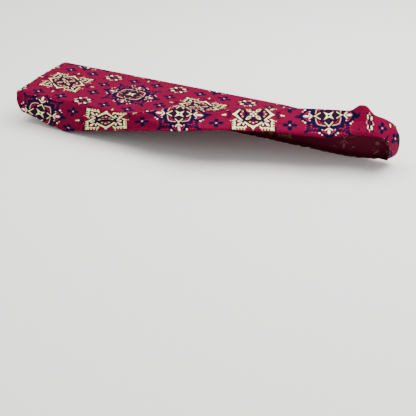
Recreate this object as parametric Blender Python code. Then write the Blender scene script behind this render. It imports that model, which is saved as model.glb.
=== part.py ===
"""A long, low fitted stretch cover, as drawn over a thing but slipped back at one end.

The cover is two cut pieces of knitted cloth sewn edge to edge: an oblong top panel and a skirt
that runs all the way round it and ends in an elastic hem. It is hollow. The left half is fully
seated, with its hem drawn in underneath. From there to the right the hem climbs the front,
crosses the top and drops down the right end, so the skirt lies back over the top and is pushed
up into a soft crest.

Metres, +Z up, +X along the cover to the right, +Y to the back. The origin is the middle of the
underside of the top panel.
"""

import math

import bmesh
import bpy
import numpy as np
from mathutils import Vector

# Driving sizes of the seated cover, measured on the outside of the cloth.
LENGTH = 1.246
DEPTH = 0.272
HEIGHT = 0.126
FRONT_CORNER = 0.014
BACK_CORNER = 0.022
CLOTH = 0.002
HEM_CLOTH = 0.003
HEM_WIDTH = 0.012
SEAM_GAP = 0.0003

LEFT = -LENGTH / 2
FRONT = -DEPTH / 2
BACK = DEPTH / 2
TOP = CLOTH
BOTTOM = TOP - HEIGHT
# The outside of the top falls to this height at the front edge.
FRONT_EDGE = -0.004
# The seated hem rises to this height at the left and the right end, between these distances from
# the middle.
END_BOTTOMS = (-0.086, -0.108)
END_TAPER = (0.460, 0.640)

# The seam sits on the rounded shoulder, this far in from the wall and down from the top.
SEAM_SET = 0.0035
SHOULDER = 0.0085
LEFT_BULGE = 0.009
# The seated hem turns this far in underneath, and comes out between these places on the front.
TUCK = 0.030
TUCK_ENDS = (-0.520, -0.425)
# Under the left corners it turns on this radius, and is gathered over this length each side.
HEM_CORNER = 0.010
GATHER = 0.100
# Halfway out, the turned cloth hangs this much lower.
TUCK_SAG = 0.004
ROUNDING = 0.014
ROUNDING_POINTS = 7

# Where the slipped skirt lies, from the place where its hem is out in sight to the right end. Each
# row is one line of the knit: the hem, the crest, and how far past it the seam is.
SLIPPED = (
    # hem_x, hem_y, hem_z, crest_x, crest_y, crest_z, over
    (-0.425, -0.136, -0.1195, -0.425, -0.1325, -0.0075, 0.000),
    (-0.300, -0.136, -0.090, -0.300, -0.1325, -0.0075, 0.000),
    (-0.182, -0.136, -0.064, -0.181, -0.1290, -0.0050, 0.000),
    (-0.112, -0.136, -0.049, -0.124, -0.1120, 0.0030, 0.000),
    (-0.055, -0.136, -0.036, -0.088, -0.0860, 0.0080, 0.000),
    (-0.018, -0.136, -0.028, -0.058, -0.0640, 0.0120, 0.000),
    (0.018, -0.136, -0.020, -0.028, -0.0490, 0.0150, 0.000),
    (0.061, -0.136, -0.011, 0.016, -0.0480, 0.0150, 0.000),
    (0.100, -0.133, -0.003, 0.057, -0.0420, 0.0150, 0.000),
    (0.138, -0.107, -0.006, 0.098, -0.0260, 0.0150, 0.000),
    (0.188, -0.085, -0.008, 0.144, 0.0040, 0.0150, 0.000),
    (0.286, -0.048, -0.008, 0.242, 0.0540, 0.0155, 0.000),
    (0.386, -0.017, -0.008, 0.337, 0.0980, 0.0200, 0.003),
    (0.466, 0.003, -0.008, 0.424, 0.1100, 0.0275, 0.008),
    (0.504, 0.024, -0.008, 0.470, 0.1100, 0.0330, 0.010),
    (0.540, 0.045, -0.008, 0.512, 0.1100, 0.0330, 0.012),
    (0.571, 0.049, -0.008, 0.548, 0.1110, 0.0340, 0.017),
    (0.596, 0.051, -0.009, 0.576, 0.1130, 0.0310, 0.018),
)

# The right end, from the front corner of the slipped skirt down the end face to the back wall.
RIGHT_END = (
    # hem_x, hem_y, hem_z, turn_x, turn_y, turn_z, crest_x, crest_y, crest_z, over
    (0.596, 0.051, -0.009, 0.592, 0.062, 0.004, 0.576, 0.1130, 0.0310, 0.018),
    (0.613, 0.047, -0.011, 0.618, 0.080, 0.006, 0.600, 0.1200, 0.0180, 0.015),
    (0.623, 0.044, -0.025, 0.640, 0.104, -0.008, 0.617, 0.1280, 0.0060, 0.011),
    (0.624, 0.055, -0.050, 0.643, 0.120, -0.044, 0.618, 0.1360, -0.0080, 0.005),
    (0.622, 0.059, -0.077, 0.640, 0.128, -0.088, 0.613, 0.1410, -0.0190, 0.000),
    (0.610, 0.074, -0.090, 0.628, 0.136, -0.110, 0.604, 0.1430, -0.0270, 0.000),
    (0.592, 0.100, -0.102, 0.604, 0.139, -0.110, 0.590, 0.1400, -0.0310, 0.000),
)
# Past the crest the cloth drops this much for each metre back.
OVER_DROP = 0.8
# The hem's edge curls down by this much where it lies on top.
LIP = 0.007
# The cloth is off the front edge once its crest is this far back.
EDGE_REACH = 0.040

# Towards the right end the back edge of the top panel has slid down the back wall.
BACK_SLIDE = 0.034
SLIDE_ENDS = (0.240, 0.520)
BACK_ROUNDING = 0.006

# Soft folds in the skirt: where each stands along the hem, how wide it is, how far it stands out
# of the cloth, and where up the skirt it is strongest, from 0 at the hem to 1 at the seam.
FOLDS = (
    # at_x, half_width, stand, up, up_spread
    (-0.105, 0.060, -0.009, 0.50, 0.30),
    (0.200, 0.060, -0.003, 0.55, 0.28),
    (0.330, 0.050, 0.003, 0.40, 0.26),
    (0.470, 0.034, -0.004, 0.45, 0.30),
    (0.545, 0.024, 0.006, 0.62, 0.34),
)
# Folds die out over these shares of the skirt's width at the hem and at the seam.
FOLD_FADE = (0.20, 0.25)

# The peak in the crest near the right end, and how its height is shared from the hem to the seam.
BUMP_X = 0.515
BUMP_WIDTH = 0.024
BUMP_HEIGHT = 0.027
BUMP_SHARES = ((0.0, 0.40, 0.80, 1.0), (0.0, 0.20, 1.0, 0.60))

# The top panel comes down from a raised seam over the longer reach, and from a flat one over the
# shorter reach. A seam this high counts as raised.
FLAT_REACH = 0.012
CREST_REACH = 0.075
RAISED_SEAM = 0.0155
# The panel is a strip that falls from the crest to the back up to the first width, and flat from
# the second.
NARROW = (0.022, 0.070)
# The end seams pull on the columns beside them. A higher power pulls on fewer of them.
END_PULL = 24

# How many columns go round the cover and how many rows go up the skirt.
FRONT_COLUMNS = 60
END_COLUMNS = 14
CORNER_COLUMNS = 3
SEATED_COLUMNS = 10
# The columns close up towards the right by this share, where the folds are.
CLOSING = 0.30
HEM_ROWS = 2
TUCK_ROWS = 2
WALL_ROWS = 9
SHOULDER_ROW = 0.007
SMOOTHING_PASSES = 4
# The smoothing runs this many columns past the right end, on to the back.
SMOOTHED_BACK = 9
SHARP_ANGLE = math.radians(50)


def step(value, start, end):
    """0 before start, 1 after end, and a smooth rise between."""
    share = np.clip((value - start) / (end - start), 0.0, 1.0)
    return share * share * (3.0 - 2.0 * share)


def smooth_rows(table, places, wanted):
    """The table's rows read at the wanted places, on a curve through every row."""
    rows = np.array(table)
    slopes = np.gradient(rows, places, axis=0)
    found = []
    for place in wanted:
        i = int(np.clip(np.searchsorted(places, place) - 1, 0, len(places) - 2))
        span = places[i + 1] - places[i]
        t = (place - places[i]) / span
        found.append(
            (2 * t**3 - 3 * t**2 + 1) * rows[i]
            + (t**3 - 2 * t**2 + t) * span * slopes[i]
            + (3 * t**2 - 2 * t**3) * rows[i + 1]
            + (t**3 - t**2) * span * slopes[i + 1]
        )
    return np.array(found)


def row_distances(length):
    """Distances from the hem's edge to each row of one column of the skirt."""
    hem = np.linspace(0.0, HEM_WIDTH, HEM_ROWS + 1)
    tuck = np.linspace(HEM_WIDTH, TUCK, TUCK_ROWS + 1)
    wall = np.linspace(TUCK, length - SHOULDER_ROW, WALL_ROWS + 1)
    return np.concatenate([hem, tuck[1:], wall[1:], [length]])


def column(guide):
    """The points of one column, on a path through the guide corners with each one rounded off."""
    corners = [np.array(corner) for corner in guide]
    path = [corners[0]]
    for before, corner, after in zip(corners, corners[1:], corners[2:]):
        back = np.linalg.norm(before - corner)
        ahead = np.linalg.norm(after - corner)
        if min(back, ahead) < SEAM_GAP:
            continue
        cut = min(ROUNDING, back / 2, ahead / 2)
        start = corner + (before - corner) * cut / back
        end = corner + (after - corner) * cut / ahead
        for t in np.linspace(0.0, 1.0, ROUNDING_POINTS):
            path.append((1 - t) ** 2 * start + 2 * t * (1 - t) * corner + t * t * end)
    path.append(corners[-1])
    path = np.array(path)
    run = np.concatenate([[0.0], np.cumsum(np.linalg.norm(np.diff(path, axis=0), axis=1))])
    places = row_distances(run[-1])
    return np.stack([np.interp(places, run, path[:, axis]) for axis in range(3)], axis=1)


def seated_hem(x):
    """Height of the seated hem, which rises towards both ends."""
    end = END_BOTTOMS[0] if x < 0 else END_BOTTOMS[1]
    return BOTTOM + (end - BOTTOM) * step(abs(x), *END_TAPER)


def gathered(x, y, out_x, out_y):
    """How far along the wall a column's hem is drawn, away from the nearest left corner."""
    radius = FRONT_CORNER if y < 0 else BACK_CORNER
    slack = TUCK + HEM_CORNER - radius
    from_left = x - LEFT - radius
    from_side = DEPTH / 2 - abs(y) - radius
    drawn_x = slack * (1.0 - abs(out_x)) * (1.0 - step(from_left, 0.0, GATHER))
    drawn_y = slack * (1.0 - abs(out_y)) * (1.0 - step(from_side, 0.0, GATHER))
    return drawn_x, -math.copysign(drawn_y, y)


def seated_top(y):
    """Height of the outside of the top, which falls a little towards the front edge."""
    return TOP + (FRONT_EDGE - TOP) * (1.0 - step(y, FRONT, 0.0))


def wall_column(x, y, out_x, out_y, seam, tucked=1.0):
    """A seated column. Tucked falls from 1 to 0 as the hem comes out from underneath."""
    low = seated_hem(x) + (SLIPPED[0][2] - BOTTOM - TUCK_SAG * 4 * tucked) * (1.0 - tucked)
    high = seam + SEAM_SET - SHOULDER
    bulge = LEFT_BULGE * max(0.0, -out_x)
    wall = (
        (x, y, low),
        (x + out_x * bulge, y + out_y * bulge, (low + high) / 2),
        (x + out_x * bulge / 2, y + out_y * bulge / 2, high),
        (x - out_x * SEAM_SET, y - out_y * SEAM_SET, seam),
    )
    drawn_x, drawn_y = gathered(x, y, out_x, out_y)
    under = (x - out_x * TUCK + drawn_x, y - out_y * TUCK + drawn_y, low + CLOTH / 2)
    return tucked * column((under,) + wall) + (1.0 - tucked) * column(wall)


def corner_columns(radius, side, start, end):
    """Round one left corner, at the front (side -1) or the back (side 1), in degrees."""
    columns = []
    for angle in np.linspace(math.radians(start), math.radians(end), CORNER_COLUMNS + 1):
        out_x = math.cos(angle)
        out_y = math.sin(angle)
        x = LEFT + radius + radius * out_x
        y = side * (DEPTH / 2 - radius) + radius * out_y
        columns.append(wall_column(x, y, out_x, out_y, seated_top(y) - SEAM_SET))
    return columns


def past_crest(crest_x, crest_y, crest_z, over):
    return (crest_x, crest_y + over, crest_z - OVER_DROP * over)


def slipped_column(hem_x, hem_y, hem_z, crest_x, crest_y, crest_z, over):
    """A column whose hem is in sight, on the front or on the top."""
    on_top = step(crest_y, FRONT + SEAM_SET, FRONT + SEAM_SET + EDGE_REACH)
    turn_z = max(FRONT_EDGE - SHOULDER * (1.0 - on_top), hem_z + LIP)
    rise = turn_z - hem_z
    turn_x = hem_x + (crest_x - hem_x) * rise / (rise + abs(crest_y - hem_y))
    return column(
        (
            (hem_x, hem_y, hem_z),
            (turn_x, hem_y + CLOTH * on_top, turn_z),
            (crest_x, crest_y, crest_z),
            past_crest(crest_x, crest_y, crest_z, over),
        )
    )


def front_columns():
    """From the middle of the front left corner to the front corner of the slipped end."""
    columns = corner_columns(FRONT_CORNER, -1, 225, 270)
    for x in np.linspace(LEFT + FRONT_CORNER, SLIPPED[0][0], SEATED_COLUMNS)[1:]:
        tucked = 1.0 - step(x, *TUCK_ENDS)
        columns.append(wall_column(x, FRONT, 0, -1, FRONT_EDGE - SEAM_SET, tucked))
    places = np.array([row[0] for row in SLIPPED])
    shares = np.linspace(0.0, 1.0, FRONT_COLUMNS + 2 - len(columns))[1:]
    shares = shares + CLOSING * shares * (1.0 - shares)
    for row in smooth_rows(SLIPPED, places, places[0] + (places[-1] - places[0]) * shares):
        columns.append(slipped_column(*row))
    return columns


def right_columns():
    places = np.linspace(0.0, 1.0, len(RIGHT_END))
    columns = []
    for row in smooth_rows(RIGHT_END, places, np.linspace(0.0, 1.0, END_COLUMNS + 1)):
        columns.append(column((row[0:3], row[3:6], row[6:9], past_crest(*row[6:10]))))
    return columns


def back_columns(seam_xs):
    """From the right end to the middle of the back left corner."""
    columns = []
    for x in seam_xs:
        seam = TOP - SEAM_SET - BACK_SLIDE * step(x, *SLIDE_ENDS)
        columns.append(wall_column(x, BACK, 0, 1, seam))
    return columns + corner_columns(BACK_CORNER, 1, 90, 135)[1:]


def left_columns():
    columns = corner_columns(BACK_CORNER, 1, 135, 180)
    straight = END_COLUMNS - 2 * CORNER_COLUMNS
    for y in np.linspace(BACK - BACK_CORNER, FRONT + FRONT_CORNER, straight + 1)[1:-1]:
        columns.append(wall_column(LEFT, y, -1, 0, seated_top(y) - SEAM_SET))
    return columns + corner_columns(FRONT_CORNER, -1, 180, 225)


def skirt_surface():
    """Points of the skirt's outside, one column after another round the cover, hem first."""
    front = front_columns()
    right = right_columns()
    along = np.array([points[-1][0] for points in front[CORNER_COLUMNS:]][::-1])
    back = back_columns(np.interp(along, along[[-1, 0]], (LEFT + BACK_CORNER, along[0])))
    left = left_columns()
    columns = np.array(front + right[1:] + back[1:] + left[1:-1])
    slipped = slice(CORNER_COLUMNS + SEATED_COLUMNS, FRONT_COLUMNS + END_COLUMNS + SMOOTHED_BACK)
    lift_folds(columns[: FRONT_COLUMNS + 1])
    smooth_inside(columns, slipped)
    lift_bump(columns)
    return columns


def lift_folds(columns):
    """Pushes the soft folds out of, or into, the slipped skirt."""
    shares = np.linspace(0.0, 1.0, columns.shape[1])
    out = np.cross(np.gradient(columns, axis=0), np.gradient(columns, axis=1))
    out /= np.linalg.norm(out, axis=2, keepdims=True)
    fade = np.minimum(1.0, shares / FOLD_FADE[0]) * np.minimum(1.0, (1.0 - shares) / FOLD_FADE[1])
    hem_x = columns[:, 0, 0]
    for at_x, half_width, stand, up, up_spread in FOLDS:
        beside = np.exp(-(((hem_x - at_x) / half_width) ** 2))
        height = fade * np.exp(-(((shares - up) / up_spread) ** 2))
        columns += stand * beside[:, None, None] * height[None, :, None] * out


def smooth_inside(columns, slipped):
    """Evens out the slipped cloth between its hem and its seam, which stay where they are."""
    inside = slice(1, -1)
    for _ in range(SMOOTHING_PASSES):
        before = columns[slipped.start - 1 : slipped.stop - 1, inside]
        after = columns[slipped.start + 1 : slipped.stop + 1, inside]
        columns[slipped, inside] = columns[slipped, inside] / 2 + (before + after) / 4


def lift_bump(columns):
    """Lifts the crest of the slipped skirt into a peak near the right end."""
    front = columns[: FRONT_COLUMNS + 1]
    shares = np.linspace(0.0, 1.0, front.shape[1])
    height = BUMP_HEIGHT * np.exp(-(((front[:, -1, 0] - BUMP_X) / BUMP_WIDTH) ** 2))
    front[:, :, 2] += height[:, None] * np.interp(shares, *BUMP_SHARES)[None, :]


def shares_along(line):
    """How far along the line each of its points is, from 0 to 1."""
    run = np.concatenate([[0.0], np.cumsum(np.linalg.norm(np.diff(line, axis=0), axis=1))])
    return run / run[-1]


def top_surface(seam):
    """Points of the top panel's outside, spanned between the four sides of its seam."""
    front = seam[: FRONT_COLUMNS + 1]
    right = seam[FRONT_COLUMNS : FRONT_COLUMNS + END_COLUMNS + 1]
    back = seam[FRONT_COLUMNS + END_COLUMNS : 2 * FRONT_COLUMNS + END_COLUMNS + 1][::-1]
    left = np.concatenate([seam[2 * FRONT_COLUMNS + END_COLUMNS :], seam[:1]])[::-1]
    u = shares_along(front)[:, None]
    at_left = (1.0 - u) ** END_PULL
    at_right = u**END_PULL
    v = np.linspace(0.0, 1.0, END_COLUMNS + 1)[None, :]
    v = v + at_left * (shares_along(left) - v) + at_right * (shares_along(right) - v)
    points = (1.0 - v[..., None]) * front[:, None] + v[..., None] * back[:, None]
    points += at_left[..., None] * (left - points[0])[None]
    points += at_right[..., None] * (right - points[-1])[None]
    width = np.linalg.norm(front[:, :2] - back[:, :2], axis=1)[:, None]
    narrow = 1.0 - step(width, *NARROW)
    points[:, :, 2] *= narrow
    points[:, :, 2] += (1.0 - narrow) * top_heights(points, front, back, left, width * v, width)
    points[:, :, 1] += BACK_ROUNDING * narrow * (1.0 - at_right) * np.sin(np.pi * v)
    return points


def top_heights(points, front, back, left, from_front, width):
    """Heights of the top panel where it is wide: flat, but for its edges and behind the crest."""
    crest = step(front[:, 2:], 0.0, RAISED_SEAM)
    front_reach = np.minimum(FLAT_REACH + (CREST_REACH - FLAT_REACH) * crest, width)
    flat = np.array([[seated_top(point[1]) for point in line] for line in points])
    at_front = np.clip(1.0 - from_front / front_reach, 0.0, 1.0) ** 2
    at_back = np.clip(1.0 - (width - from_front) / FLAT_REACH, 0.0, 1.0) ** 2
    heights = flat + (front[:, 2:] - flat[:, :1]) * at_front
    heights += (back[:, 2:] - flat[:, -1:]) * at_back
    at_left = np.clip(1.0 - (points[:, :, 0] - points[:1, :, 0]) / FLAT_REACH, 0.0, 1.0) ** 2
    return heights + (left[None, :, 2] - heights[:1]) * at_left


def whole_sheet():
    """The outside of the whole cover as one mesh, its faces sorted into the two pieces."""
    columns = skirt_surface()
    top = top_surface(columns[:, -1])
    around = len(columns)
    sheet = bmesh.new()
    skirt = [[sheet.verts.new(point) for point in points] for points in columns]
    panel = [[None] * (END_COLUMNS + 1) for _ in range(FRONT_COLUMNS + 1)]
    for i in range(FRONT_COLUMNS + 1):
        panel[i][0] = skirt[i][-1]
        panel[i][END_COLUMNS] = skirt[2 * FRONT_COLUMNS + END_COLUMNS - i][-1]
    for j in range(1, END_COLUMNS):
        panel[FRONT_COLUMNS][j] = skirt[FRONT_COLUMNS + j][-1]
        panel[0][j] = skirt[around - j][-1]
        for i in range(1, FRONT_COLUMNS):
            panel[i][j] = sheet.verts.new(top[i, j])
    pieces = {
        "skirt": quads(sheet, skirt + skirt[:1]),
        "top_panel": quads(sheet, panel),
    }
    sheet.normal_update()
    sheet.verts.index_update()
    row_of = {vert: row for points in skirt for row, vert in enumerate(points)}
    return sheet, pieces, row_of


def quads(sheet, lines):
    """Faces between each line of points and the next."""
    faces = []
    for line, after in zip(lines, lines[1:]):
        for j in range(len(line) - 1):
            faces.append(sheet.faces.new((line[j], after[j], after[j + 1], line[j + 1])))
    return faces


def cloth_at(row):
    """Thickness of the cloth: double where the hem is turned up over its elastic."""
    return HEM_CLOTH if row is not None and row < HEM_ROWS else CLOTH


def is_rim(edge, chosen):
    """Whether the edge has the piece on one side only."""
    return sum(face in chosen for face in edge.link_faces) == 1


def off_the_seam(vert, chosen):
    """Which way, and how far, a piece's edge stands back from a point of the seam."""
    inward = Vector()
    for edge in vert.link_edges:
        if not is_rim(edge, chosen):
            continue
        face = next(face for face in edge.link_faces if face in chosen)
        start, end = edge.verts
        across = face.normal.cross(end.co - start.co).normalized()
        towards = face.calc_center_median() - (start.co + end.co) / 2
        inward += across if across.dot(towards) > 0 else -across
    return inward.normalized() * SEAM_GAP / 2


def cut_piece(name, faces, row_of, colour):
    """Gives the piece's share of the sheet its thickness and closes its edges."""
    chosen = set(faces)
    mesh = bmesh.new()
    outside = {}
    inside = {}
    for face in faces:
        for vert in face.verts:
            if vert in outside:
                continue
            at = vert.co.copy()
            if any(other not in chosen for other in vert.link_faces):
                at += off_the_seam(vert, chosen)
            outside[vert] = mesh.verts.new(at)
            inside[vert] = mesh.verts.new(at - vert.normal * cloth_at(row_of.get(vert)))
    for face in faces:
        mesh.faces.new([outside[vert] for vert in face.verts])
        mesh.faces.new([inside[vert] for vert in reversed(face.verts)])
        for loop in face.loops:
            if not is_rim(loop.edge, chosen):
                continue
            start = loop.vert
            end = loop.link_loop_next.vert
            # Both pieces split their shared edge along the same diagonal, so they stay parallel.
            if start.index < end.index:
                mesh.faces.new((outside[end], outside[start], inside[end]))
                mesh.faces.new((outside[start], inside[start], inside[end]))
            else:
                mesh.faces.new((outside[end], outside[start], inside[start]))
                mesh.faces.new((outside[end], inside[start], inside[end]))
    mesh.normal_update()
    data = bpy.data.meshes.new(name)
    mesh.to_mesh(data)
    mesh.free()
    data.shade_smooth()
    data.set_sharp_from_angle(angle=SHARP_ANGLE)
    data.materials.append(knit_material(name, colour))
    bpy.context.scene.collection.objects.link(bpy.data.objects.new(name, data))


def knit_material(name, colour):
    material = bpy.data.materials.new(name + "_knit")
    material.use_nodes = True
    shader = material.node_tree.nodes["Principled BSDF"]
    shader.inputs["Base Color"].default_value = colour
    shader.inputs["Roughness"].default_value = 0.85
    shader.inputs["Metallic"].default_value = 0.0
    return material


for thing in list(bpy.data.objects):
    bpy.data.objects.remove(thing)

sheet, pieces, row_of = whole_sheet()
cut_piece("top_panel", pieces["top_panel"], {}, (0.29, 0.010, 0.052, 1.0))
cut_piece("skirt", pieces["skirt"], row_of, (0.24, 0.008, 0.040, 1.0))
sheet.free()
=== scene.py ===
"""A long, low fitted cover of printed stretch knit, drawn back from its right end.

The cover is two cut pieces of one printed cloth, a top panel and a skirt that ends in an elastic
hem. Metres, +Z up, +X along the cover to the right, +Y to the back.
"""

import math

import bmesh
import bpy
import numpy as np
from mathutils import Matrix


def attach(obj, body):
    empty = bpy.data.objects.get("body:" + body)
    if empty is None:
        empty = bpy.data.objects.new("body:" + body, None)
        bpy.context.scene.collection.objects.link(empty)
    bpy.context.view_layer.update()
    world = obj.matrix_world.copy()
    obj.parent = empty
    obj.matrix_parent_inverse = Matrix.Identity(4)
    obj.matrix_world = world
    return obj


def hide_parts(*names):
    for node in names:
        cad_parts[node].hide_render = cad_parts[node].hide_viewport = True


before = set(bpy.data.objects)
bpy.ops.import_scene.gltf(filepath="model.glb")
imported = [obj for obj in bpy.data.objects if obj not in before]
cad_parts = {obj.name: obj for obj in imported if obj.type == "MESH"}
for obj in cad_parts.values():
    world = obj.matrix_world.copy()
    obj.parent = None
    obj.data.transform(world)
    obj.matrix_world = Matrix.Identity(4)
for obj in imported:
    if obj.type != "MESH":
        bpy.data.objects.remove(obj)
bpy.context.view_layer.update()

# The viewpoint
# Above the cover and round to its right, with the camera turned a little to one side.
CAMERA_PLACE = (0.9847, -1.7272, 0.9687)
CAMERA_ROUND = math.radians(28.70)
CAMERA_UP = math.radians(34.53)
CAMERA_TURN = math.radians(-2.02)
CAMERA_LENS = 58.92


def place_camera():
    back = np.array(
        [
            math.sin(CAMERA_ROUND) * math.cos(CAMERA_UP),
            -math.cos(CAMERA_ROUND) * math.cos(CAMERA_UP),
            math.sin(CAMERA_UP),
        ]
    )
    level = np.array([math.cos(CAMERA_ROUND), math.sin(CAMERA_ROUND), 0.0])
    upright = np.cross(back, level)
    right = math.cos(CAMERA_TURN) * level + math.sin(CAMERA_TURN) * upright
    up = math.cos(CAMERA_TURN) * upright - math.sin(CAMERA_TURN) * level
    camera = bpy.data.objects.new("camera", bpy.data.cameras.new("camera"))
    camera.data.lens = CAMERA_LENS
    camera.data.clip_end = 50.0
    facing = Matrix((right, up, back)).transposed()
    camera.matrix_world = Matrix.Translation(CAMERA_PLACE) @ facing.to_4x4()
    bpy.context.scene.collection.objects.link(camera)
    bpy.context.scene.camera = camera


place_camera()

# The skirt
# One band of printed stretch knit, sewn all round the top panel. Its lower edge is turned over a
# narrow elastic and stitched, which draws it in. The left half is seated, with the hem turned in
# underneath, and from there the hem climbs the front and crosses the top to the right end.
MM = 0.001
LENGTH = 1.246
DEPTH = 0.272
HEIGHT = 0.126
FRONT_CORNER = 0.014
BACK_CORNER = 0.022
CLOTH = 0.002
HEM_WIDTH = 0.012
SEAM_GAP = 0.0003

LEFT = -LENGTH / 2
FRONT = -DEPTH / 2
BACK = DEPTH / 2
TOP = CLOTH
BOTTOM = TOP - HEIGHT
FRONT_EDGE = -0.004
END_BOTTOMS = (-0.086, -0.108)
END_TAPER = (0.460, 0.640)

# The seam sits on the rounded shoulder, this far in from the wall and down from the top.
SEAM_SET = 0.0035
SHOULDER = 0.0085
# The left end swells out at half its height, and the hem turns in underneath by the tuck.
LEFT_BULGE = 0.013
TUCK = 0.030
TUCK_ENDS = (-0.520, -0.425)
HEM_CORNER = 0.010
# How far from the left corners the hem is gathered, and how much it sags where it is half out.
GATHER = 0.100
TUCK_SAG = 0.004
ROUNDING = 0.014
ROUNDING_POINTS = 13

# Where the pulled-back skirt lies. Each row is one line of the knit: its hem, its crest, and how
# far past the crest its seam is.
SLIPPED = (
    # hem_x, hem_y, hem_z, crest_x, crest_y, crest_z, over
    (-0.425, -0.136, -0.1195, -0.425, -0.1325, -0.0075, 0.000),
    (-0.300, -0.136, -0.090, -0.300, -0.1325, -0.0075, 0.000),
    (-0.182, -0.136, -0.0625, -0.181, -0.1290, -0.0050, 0.000),
    (-0.112, -0.136, -0.0455, -0.124, -0.1120, 0.0030, 0.000),
    (-0.055, -0.136, -0.0335, -0.088, -0.0860, 0.0080, 0.000),
    (-0.018, -0.136, -0.028, -0.058, -0.0640, 0.0120, 0.000),
    (0.018, -0.136, -0.020, -0.028, -0.0490, 0.0150, 0.000),
    (0.061, -0.136, -0.011, 0.016, -0.0480, 0.0150, 0.000),
    (0.100, -0.133, -0.003, 0.057, -0.0420, 0.0150, 0.000),
    (0.138, -0.107, -0.005, 0.098, -0.0260, 0.0150, 0.000),
    (0.188, -0.085, -0.0065, 0.144, 0.0040, 0.0150, 0.000),
    (0.286, -0.048, -0.0065, 0.242, 0.0540, 0.0155, 0.000),
    (0.386, -0.017, -0.0120, 0.337, 0.0980, 0.0175, 0.003),
    (0.466, 0.003, -0.0098, 0.424, 0.1100, 0.0250, 0.008),
    (0.504, 0.024, -0.0030, 0.470, 0.1100, 0.0330, 0.010),
    (0.540, 0.045, -0.0055, 0.512, 0.1100, 0.0330, 0.012),
    (0.571, 0.049, -0.0050, 0.548, 0.1110, 0.0340, 0.017),
    (0.596, 0.051, -0.0060, 0.576, 0.1130, 0.0310, 0.018),
)
RIGHT_END = (
    # hem_x, hem_y, hem_z, turn_x, turn_y, turn_z, crest_x, crest_y, crest_z, over
    (0.596, 0.051, -0.0060, 0.592, 0.062, 0.004, 0.576, 0.1130, 0.0310, 0.018),
    (0.613, 0.047, -0.0065, 0.618, 0.080, 0.006, 0.600, 0.1200, 0.0180, 0.015),
    (0.623, 0.044, -0.0190, 0.640, 0.104, -0.008, 0.617, 0.1280, 0.0060, 0.011),
    (0.624, 0.055, -0.050, 0.643, 0.120, -0.044, 0.618, 0.1360, -0.0080, 0.005),
    (0.622, 0.059, -0.077, 0.640, 0.128, -0.088, 0.613, 0.1410, -0.0190, 0.000),
    (0.610, 0.074, -0.090, 0.628, 0.136, -0.110, 0.604, 0.1430, -0.0270, 0.000),
    (0.592, 0.100, -0.102, 0.604, 0.139, -0.110, 0.590, 0.1400, -0.0310, 0.000),
)
# Past the crest the cloth falls this steeply. The hem has a lip before the cloth turns back, and
# the crest is wholly on the top once it is this far in from the front edge.
OVER_DROP = 0.8
LIP = 0.007
EDGE_REACH = 0.040
# How far the seam has slid down the back, and between which places it does so.
BACK_SLIDE = 0.034
SLIDE_ENDS = (0.240, 0.520)

# Soft folds that run up the pulled-back skirt, and the one bump in its crest.
FOLDS = (
    # at_x, half_width, rise, up, up_spread
    (-0.105, 0.052, -0.014, 0.50, 0.30),
    (0.200, 0.060, -0.003, 0.55, 0.28),
    (0.330, 0.050, 0.003, 0.40, 0.26),
    (0.470, 0.034, -0.004, 0.45, 0.30),
    (0.545, 0.024, 0.006, 0.62, 0.34),
)
# The shares of the way up over which the folds fade out, at the hem and at the seam.
FOLD_FADE = (0.20, 0.25)
BUMP_X = 0.518
BUMP_WIDTH = 0.028
BUMP_HEIGHT = 0.0275
# Shares of the way up, and of the bump's height there.
BUMP_SHARES = ((0.0, 0.40, 0.80, 1.0), (0.0, 0.20, 1.0, 0.60))

# How finely the cloth is divided, round the cover and up the skirt.
FRONT_COLUMNS = 240
END_COLUMNS = 56
CORNER_COLUMNS = 12
SEATED_COLUMNS = 40
# The front's columns lie closer together to the right, by this share.
CLOSING = 0.30
HEM_ROWS = 6
TUCK_ROWS = 6
WALL_ROWS = 30
SHOULDER_ROWS = 3
SHOULDER_ROW = 0.007
SMOOTHING_PASSES = 64
SMOOTHED_BACK = 36
# The two ends of the band are joined at this column, in the middle of the back.
JOIN_COLUMN = FRONT_COLUMNS + END_COLUMNS + FRONT_COLUMNS // 2
# A row halfway up the wall, where the seated cloth isn't gathered.
MEASURED_ROW = 22


def step(value, start, end):
    """0 before start, 1 after end, and a smooth rise between."""
    share = np.clip((value - start) / (end - start), 0.0, 1.0)
    return share * share * (3.0 - 2.0 * share)


def read_rows(rows, slopes, places, wanted):
    """Rows read at the wanted places, on a curve through every row, with the given slopes there."""
    at = np.clip(np.searchsorted(places, wanted) - 1, 0, len(places) - 2)
    span = (places[at + 1] - places[at])[:, None]
    t = (wanted[:, None] - places[at][:, None]) / span
    return (
        (2 * t**3 - 3 * t**2 + 1) * rows[at]
        + (t**3 - 2 * t**2 + t) * span * slopes[at]
        + (3 * t**2 - 2 * t**3) * rows[at + 1]
        + (t**3 - t**2) * span * slopes[at + 1]
    )


def smooth_rows(table, places, wanted):
    """The table's rows read at the wanted places, on a smooth curve."""
    rows = np.array(table)
    return read_rows(rows, np.gradient(rows, places, axis=0), places, wanted)


def row_distances(length):
    """Distances from the hem's edge to each row of one column of the skirt."""
    hem = np.linspace(0.0, HEM_WIDTH, HEM_ROWS + 1)
    tuck = np.linspace(HEM_WIDTH, TUCK, TUCK_ROWS + 1)
    wall = np.linspace(TUCK, length - SHOULDER_ROW, WALL_ROWS + 1)
    shoulder = np.linspace(length - SHOULDER_ROW, length, SHOULDER_ROWS + 1)
    return np.concatenate([hem, tuck[1:], wall[1:], shoulder[1:]])


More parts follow.
